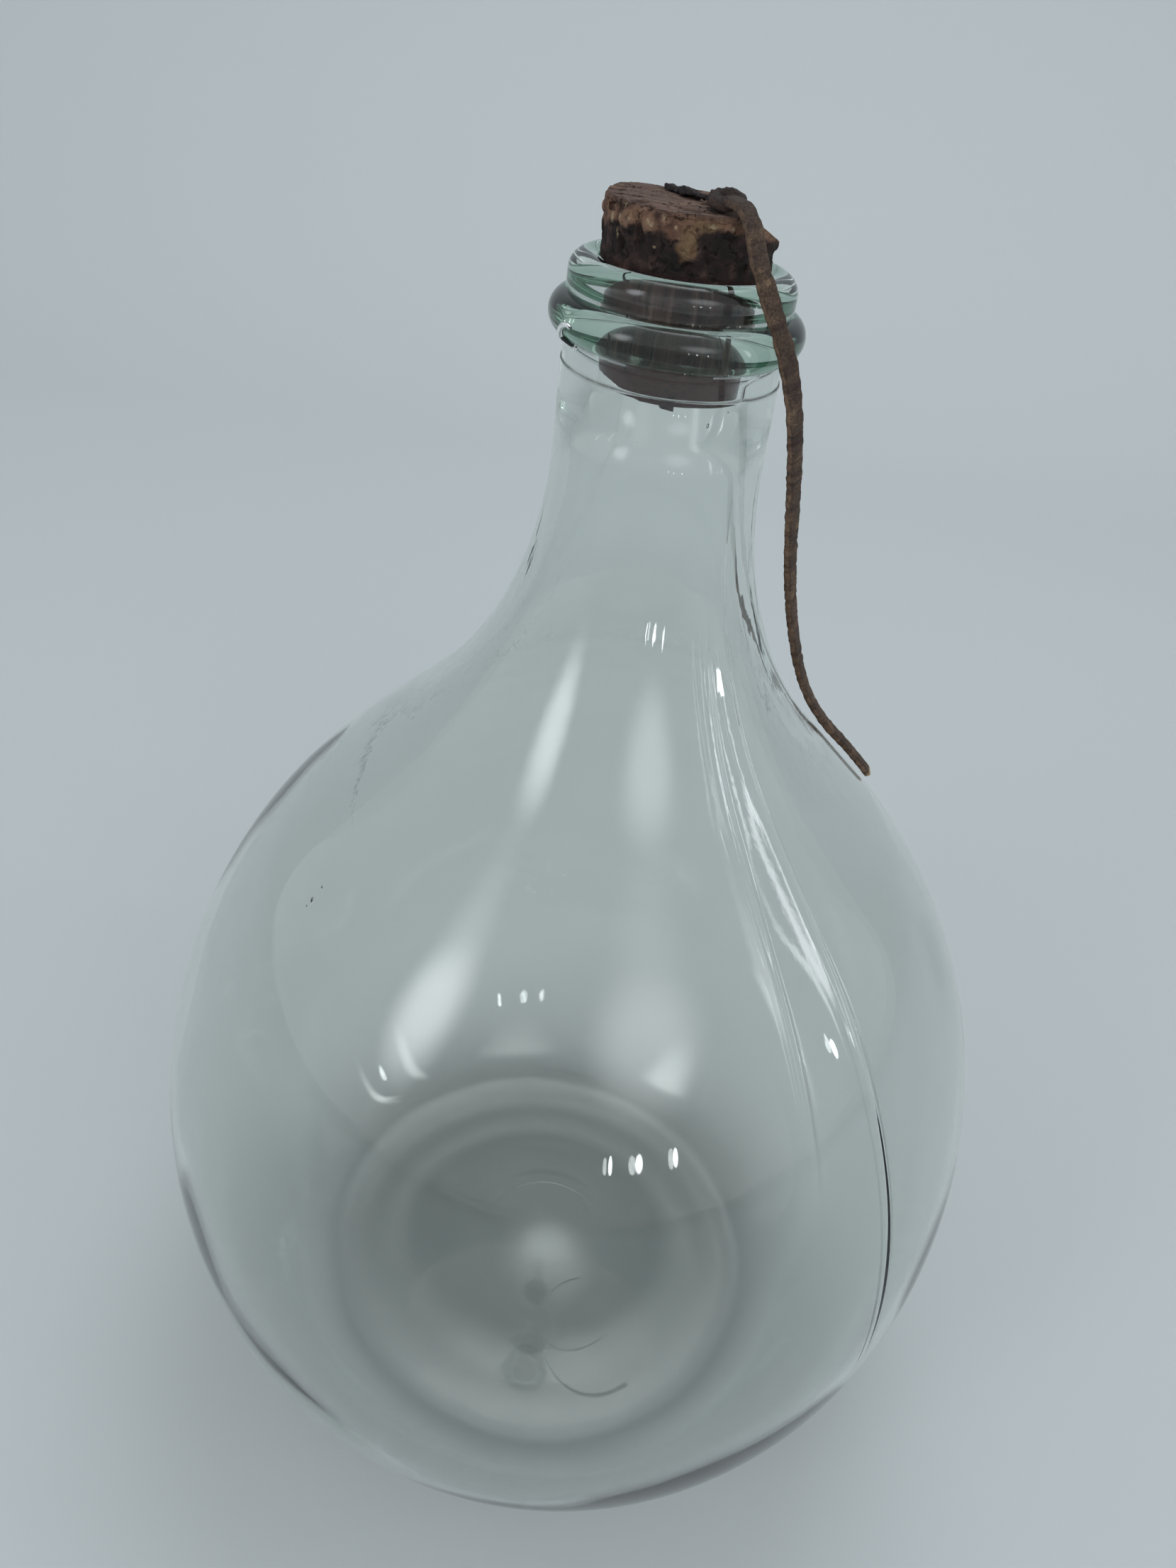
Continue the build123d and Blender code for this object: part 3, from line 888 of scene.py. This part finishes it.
def cork():
    points, directions, slant, faces = cut_cork()
    depth = CORK_TOP - points[:, 2]
    on_top = smooth_step(directions[:, 2], 0.6, 0.9)
    on_side = (1 - on_top) * (1 - smooth_step(depth, *CORK_SIDE_END))
    in_bore = smooth_step(depth, *CORK_BORE_START)
    ragged = noise_at(points, 1.1, 5.0)
    swells = noise_at(points, 3.0, 2.0)

    knobs = [*KNOBS, *scattered_marks(26, (1.2, 2.4), (376.5, 383.0), 41, (0.6,))]
    chips = [*CHIPS, *scattered_marks(6, (0.9, 1.8), (375.0, 382.0), 42)]
    crumbs = [*CRUMBS, *scattered_marks(14, (0.25, 0.6), (376.5, 383.3), 43)]
    knob = np.zeros(len(points))
    knob_rise = np.zeros(len(points))
    for mark in knobs:
        dome = np.sqrt(np.clip(1 - (mark_distance(points, mark) + 0.30 * ragged) ** 2, 0, 1))
        knob_rise = np.maximum(knob_rise, mark[4] * dome)
        knob = np.maximum(knob, dome)
    chip = marked(points, chips, 0.40 * ragged, 0.70, 1.25)
    crumb = marked(points, crumbs, 0.45 * noise_at(points, 0.5, 3.0), 0.55, 1.15)

    # relief in millimetres: knobs and pits on the side, gashes along the grain on the top
    pits = smooth_step(noise_at(points * [1, 1, 0.6], 2.3, 14.0), 0.30, 0.55)
    side = knob_rise + 0.40 * swells + 0.16 * ragged - 0.9 * pits * (1 - chip) + 0.15 * crumb - 0.45
    grain = noise_at(points * [0.16, 1.0, 0.5], 0.8, 9.0)
    gashes = smooth_step(noise_at(points * [0.28, 1.0, 0.4], 2.1, 12.0), 0.26, 0.50)
    top = 0.22 * grain + 0.30 * noise_at(points, 6.0, 1.0) - 0.8 * gashes - 0.25
    bore = np.minimum(0, 0.10 * swells - 0.05)
    relief = on_top * (1 - in_bore) * top + on_side * side + in_bore * bore
    points = points + directions * relief[:, None]
    piece = new_piece("cork", points, faces, "stopper", CORK)

    heading = np.degrees(np.arctan2(-points[:, 1], points[:, 0])) % 360
    edge = np.interp(heading, *zip(*STAIN_EDGE))
    stain = smooth_step(edge + 0.9 * swells + 0.7 * ragged - points[:, 2], -0.6, 0.6)
    looks = {
        "top_face": on_top * (1 - slant),
        "gash": gashes * on_top * (1 - 0.5 * slant),
        "knob": (1 - on_top) * smooth_step(knob, 0.35, 1.0) * 0.5,
        "chip": chip * (1 - on_top),
        "crumb": crumb * (1 - on_top) * (1 - in_bore),
        "stain": stain * (1 - on_top),
        "in_bore": in_bore,
        "foot": 1 - smooth_step(points[:, 2] + 1.5 * swells, *CORK_FOOT_FADE),
    }
    for name, values in looks.items():
        add_attribute(piece, name, values)
    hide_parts("cork_stopper")


# ---- thong ----
def smooth_route(route):
    """Points along the NURBS line whose control points are the route, in metres."""
    curve = bpy.data.curves.new("route", "CURVE")
    curve.dimensions = "3D"
    curve.resolution_u = 24
    spline = curve.splines.new("NURBS")
    spline.points.add(len(route) - 1)
    for point, place in zip(spline.points, route):
        point.co = (*(MM * c for c in place), 1)
    spline.order_u = 3
    spline.use_endpoint_u = True
    holder = bpy.data.objects.new("route", curve)
    mesh = bpy.data.meshes.new_from_object(holder)
    points = np.array([v.co[:] for v in mesh.vertices])
    bpy.data.objects.remove(holder)
    bpy.data.meshes.remove(mesh)
    return points


def evenly_spaced(points, step):
    """The same line with points a step apart, and how far along it each lies."""
    gone = np.concatenate([[0], np.cumsum(np.linalg.norm(np.diff(points, axis=0), axis=1))])
    along = np.linspace(0, gone[-1], int(gone[-1] / step) + 1)
    return np.stack([np.interp(along, gone, points[:, i]) for i in range(3)], axis=1), along


def tube(path, wide, thick, count, facing=(0, 0, 1), squareness=1.0):
    """Points and faces of a closed tube along a path, whose section may be wider than it is thick."""
    tangent = unit(np.gradient(path, axis=0))
    facing = np.broadcast_to(np.asarray(facing, float), path.shape)
    facing = unit(facing - tangent * (facing * tangent).sum(axis=1)[:, None])
    across = np.cross(tangent, facing)
    turns = np.arange(count) * 2 * math.pi / count
    side = np.sign(np.cos(turns)) * np.abs(np.cos(turns)) ** squareness
    face = np.sign(np.sin(turns)) * np.abs(np.sin(turns)) ** squareness
    shift_across = np.asarray(wide)[:, None] * side
    shift_facing = np.asarray(thick)[:, None] * face
    points = path[:, None, :] + across[:, None, :] * shift_across[:, :, None]
    points = points + facing[:, None, :] * shift_facing[:, :, None]
    faces = grid_faces(len(path), count)
    faces.append(tuple(range(count))[::-1])
    faces.append(tuple(range((len(path) - 1) * count, len(path) * count)))
    return points.reshape(-1, 3), faces


def lace(
    name, route, faces_out, width, thickness, seed,
    raw_tip=0.0, roughness=0.10, charred=((0, 0),), girth=((0, 1),),
):
    """A flat lace along a route.

    Three lists change along it, each by distance in mm: faces_out is the direction its flat side
    faces, charred is how black it is, and girth is a factor on width and thickness. raw_tip is how
    long its pale torn end is.
    """
    path, along = evenly_spaced(smooth_route(route) / MM, 0.35)
    places = np.array([place for place, _ in faces_out])
    facings = np.array([facing for _, facing in faces_out], float)
    facing = np.stack([np.interp(along, places, facings[:, i]) for i in range(3)], axis=1)
    rng = np.random.default_rng(seed)
    count, length = 24, along[-1]
    creases = np.zeros(len(along))
    for place in rng.uniform(2, length - 2, int(length / 2.2)):
        creases += rng.uniform(0.3, 1.0) * bump(along - place, rng.uniform(0.2, 0.45))
    creases = np.clip(creases, 0, 1)
    taper = np.interp(along, *zip(*girth))
    if raw_tip:
        taper = taper * (0.5 + 0.5 * np.clip((length - along) / 1.0, 0, 1) ** 0.5)
    wide = width / 2 * (1 + 0.06 * waves(along * 9, (1, 12), 1.0, seed)) * taper
    thick = thickness / 2 * (1 + 0.08 * waves(along * 11, (1, 12), 1.0, seed + 1)) * taper
    thick = thick * (1 - 0.10 * creases)
    points, faces = tube(path, wide, thick, count, facing, 0.55)
    outward = unit(points - np.repeat(path, count, axis=0))
    lumps = roughness * (noise_at(points, 0.8, seed) + noise_at(points, 1.9, seed + 7))
    points = points + outward * lumps[:, None]
    piece = new_piece(name, points, faces, "stopper", LEATHER)
    turns = np.arange(count) * 2 * math.pi / count
    tip = smooth_step(along, length - raw_tip, length - 0.3 * raw_tip) if raw_tip else 0 * along
    # edges painted paler: partly rubbed wear, partly a painted highlight
    add_attribute(piece, "edge", np.tile(smooth_step(np.abs(np.cos(turns)), 0.86, 0.98), len(along)))
    # painted shade in the creases, strongest on one side of the section
    add_attribute(piece, "crease_shade", (creases[:, None] * (0.5 + 0.5 * np.cos(turns - 1.0))).reshape(-1))
    add_attribute(piece, "raw_tip", np.repeat(tip, count))
    add_attribute(piece, "charred", np.repeat(np.interp(along, *zip(*charred)), count))
    return piece, path * MM


def thong():
    """The knot over the hole, its short charred end, and the long free end beside the neck."""
    foot, top = Vector(HOLE_FOOT), Vector(HOLE_TOP)
    stub_end = foot + (foot - top).normalized() * STUB_LENGTH
    knot_route = [tuple(stub_end), tuple(foot.lerp(top, 0.4)), tuple(foot.lerp(top, 0.98))]
    knot_route += [tuple(Vector(KNOT_CENTRE) + Vector(turn)) for turn in KNOT_TURNS]
    up, out = (0, 0, 1), (0.55, -0.83, 0)
    knot_facing = [
        (0, (0, -1, 0)), (38, (0, -1, 0.1)), (44, (0.2, 0.6, 1)), (50, (0.4, -0.4, 1)), (70, (0, 0.2, 1)),
    ]
    knot, _ = lace(
        "thong_knot_leather", knot_route, knot_facing, 3.1, 2.0, 31, roughness=0.35, charred=[(0, 0.8)],
        girth=[(0, 0.95), (39, 0.95), (42, 1.15), (60, 1.15)],
    )
    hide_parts("thong_knot")
    tail_facing = [(0, up), (9, (0.5, 0.2, 1)), (20, (-0.2, 0.2, 1))]
    tail, _ = lace(
        "thong_tail_leather", TAIL_ROUTE, tail_facing, 2.3, 1.3, 33, roughness=0.5, charred=[(0, 1.0)],
        girth=[(0, 0.7), (8, 0.6), (10.5, 1.25), (13, 1.35), (14.5, 0.8), (17, 1.05), (20, 0.8)],
    )
    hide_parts("thong_tail")
    facing = [
        (0, up), (6, up), (15, (0.55, -0.8, 0.45)), (24, out), (45, (0.62, -0.78, 0.1)),
        (90, (0.80, -0.60, 0.15)), (140, (0.92, -0.35, 0.25)), (165, (0.86, -0.10, 0.50)),
        (200, (0.80, -0.10, 0.60)),
    ]
    free, path = lace(
        "thong_leather", THONG_ROUTE, facing, THONG_WIDTH, THONG_THICKNESS, 35, raw_tip=2.4,
        charred=[(0, 0.85), (5, 0.55), (14, 0.1), (25, 0.0)],
    )
    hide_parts("thong")


# ---- stage ----
def plain_material(name, colour, roughness):
    n = Nodes(name)
    n.shader.inputs["Base Color"].default_value = (*colour, 1)
    n.shader.inputs["Roughness"].default_value = roughness
    return n.material


def floor_and_backdrop():
    """A pale floor that curves up into a pale wall. It lies a hair below the glass, so they don't touch."""
    half, front, back, bend, drop = 4.0, -3.0, 1.6, 0.7, 0.0002
    section = [(front, 0.0), (back - bend, 0.0)]
    for turn in np.linspace(0, math.pi / 2, 17)[1:]:
        section.append((back - bend + bend * math.sin(turn), bend - bend * math.cos(turn)))
    section.append((back, 4.0))
    points = [(side * half, y, z - drop) for y, z in section for side in (-1, 1)]
    faces = [(2 * i, 2 * i + 1, 2 * i + 3, 2 * i + 2) for i in range(len(section) - 1)]
    mesh = bpy.data.meshes.new("floor")
    mesh.from_pydata(points, [], faces)
    mesh.polygons.foreach_set("use_smooth", [True] * len(faces))
    mesh.materials.append(plain_material("stage_pale", STAGE_COLOUR, STAGE_ROUGHNESS))
    floor = bpy.data.objects.new("floor", mesh)
    bpy.context.collection.objects.link(floor)


def softbox(name, heading, elevation, size, brightness, edge=0.8):
    """An area light that fades towards its edges. Heading is in degrees from -Y towards +X."""
    turn, rise = math.radians(heading), math.radians(elevation)
    level = Vector((math.sin(turn), -math.cos(turn), 0))
    direction = level * math.cos(rise) + Vector((0, 0, math.sin(rise)))
    data = bpy.data.lights.new(name, "AREA")
    data.shape = "RECTANGLE"
    data.size, data.size_y = size
    data.energy = brightness * math.pi * size[0] * size[1]
    data.use_nodes = True
    nodes, links = data.node_tree.nodes, data.node_tree.links
    place_on_box = nodes.new("ShaderNodeNewGeometry").outputs["Parametric"]
    centred = nodes.new("ShaderNodeVectorMath")
    centred.operation = "SUBTRACT"
    centred.inputs[1].default_value = (0.5, 0.5, 0)
    distance = nodes.new("ShaderNodeVectorMath")
    distance.operation = "LENGTH"
    fade = nodes.new("ShaderNodeValToRGB")
    fade.color_ramp.interpolation = "EASE"
    bright, dark = fade.color_ramp.elements
    bright.position, bright.color = 0.5 - edge / 2, (*LAMP_COLOUR, 1)
    dark.position, dark.color = 0.5, (0, 0, 0, 1)
    links.new(place_on_box, centred.inputs[0])
    links.new(centred.outputs[0], distance.inputs[0])
    links.new(distance.outputs["Value"], fade.inputs["Fac"])
    links.new(fade.outputs["Color"], nodes["Emission"].inputs["Color"])
    lamp = bpy.data.objects.new(name, data)
    lamp.location = Vector(LIGHT_CENTRE) + direction * LIGHT_DISTANCE
    lamp.rotation_euler = direction.to_track_quat("Z", "Y").to_euler()
    lamp.visible_camera = False
    bpy.context.collection.objects.link(lamp)


def studio_light():
    softbox("panel_left", -46, 27, (0.8, 1.5), 4.2)
    softbox("panel_right", 25, 33, (1.4, 1.4), 2.1)
    softbox("panel_far_right", 68, 20, (0.22, 1.5), 4.0)
    softbox("strip_right", 86, 22, (0.14, 1.7), 7.0)
    softbox("panel_above", 170, 68, (1.8, 1.8), 3.0)
    for heading, width in ((14, 0.04), (21, 0.07), (30, 0.05), (79, 0.06)):
        softbox("small_window", heading, 9.5, (width, 0.16), 26, 0.3)
    world = bpy.data.worlds.new("studio")
    world.use_nodes = True
    sky = world.node_tree.nodes["Background"]
    sky.inputs["Color"].default_value = (*SKY_COLOUR, 1)
    sky.inputs["Strength"].default_value = SKY_STRENGTH
    bpy.context.scene.world = world
    bpy.context.scene.view_settings.view_transform = "Standard"


def glass_light_paths():
    """Thick glass needs more turns of the light than the default, or its folds go black."""
    cycles = bpy.context.scene.cycles
    cycles.max_bounces = 32
    cycles.transmission_bounces = 32
    cycles.glossy_bounces = 16


thong()
cork()
glass_bottle()
string_ring()
ring_curl()
floor_and_backdrop()
studio_light()
glass_light_paths()
